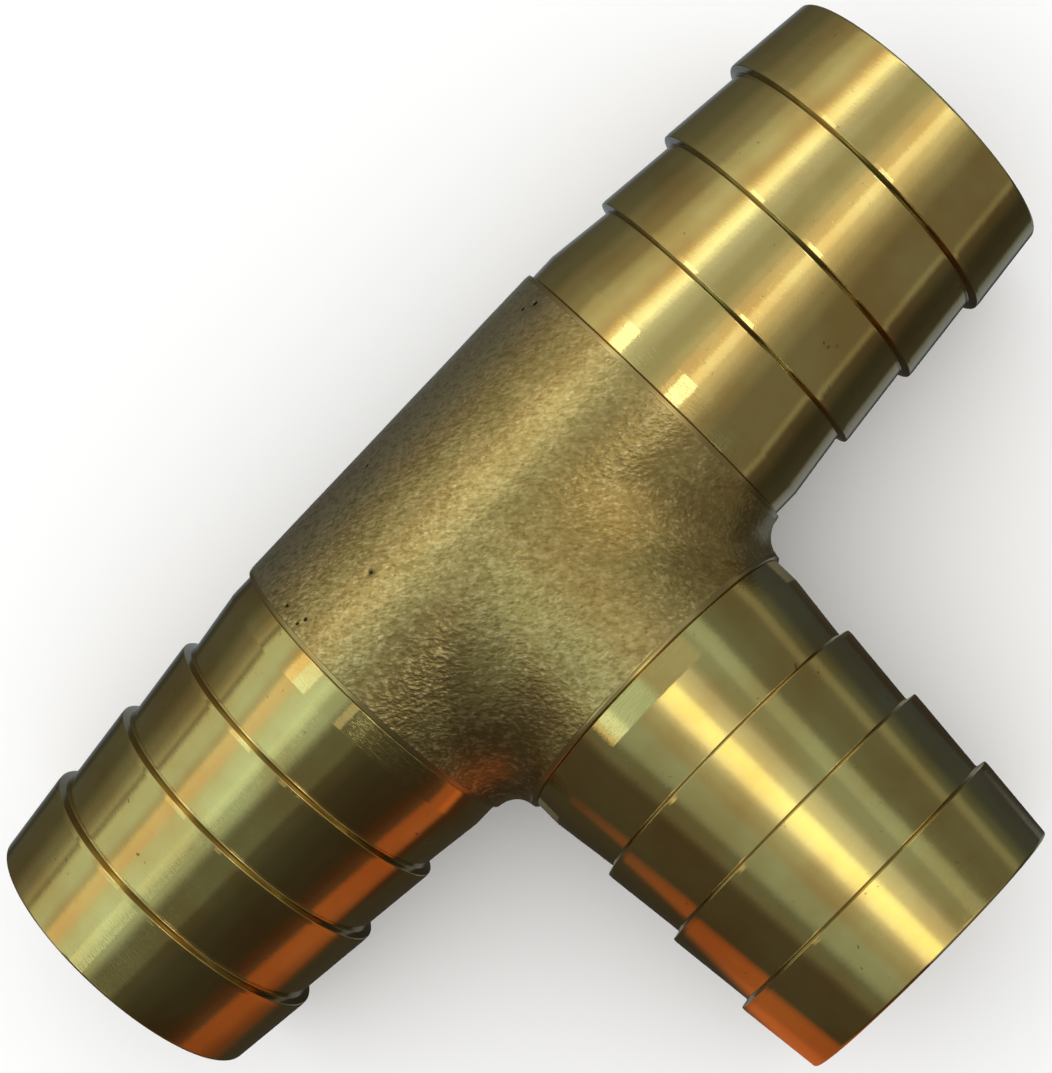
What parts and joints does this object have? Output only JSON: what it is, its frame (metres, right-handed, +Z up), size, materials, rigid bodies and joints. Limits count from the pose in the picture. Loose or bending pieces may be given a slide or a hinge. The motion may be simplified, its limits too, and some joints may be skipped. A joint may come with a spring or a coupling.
{
  "type": "barbed tee connector",
  "caption": "Equal tee for joining flexible hose: a rough cast brass body with alike turned, barbed hose tails on run and branch, and an open waterway between them.",
  "frame": {"origin": "middle of the footprint, on the surface that the tee lies on; the run's axis is at y = -0.0119, and both axes are at z = 0.0103", "axes": "+X along the run, +Y along the branch towards its free end, +Z up, square to the plane of the tee"},
  "size_m": [0.0682, 0.0444, 0.0206],
  "materials": {
    "cast_brass": "sand-cast skin, dull, slightly tarnished, with turned chamfers at its ends",
    "turned_brass": "fine turned, glossy, lightly tarnished"
  },
  "bodies": {
    "root": {"cast_body": "cast_brass", "run_tail_left": "turned_brass", "run_tail_right": "turned_brass", "branch_tail": "turned_brass"}
  },
  "joints": []
}
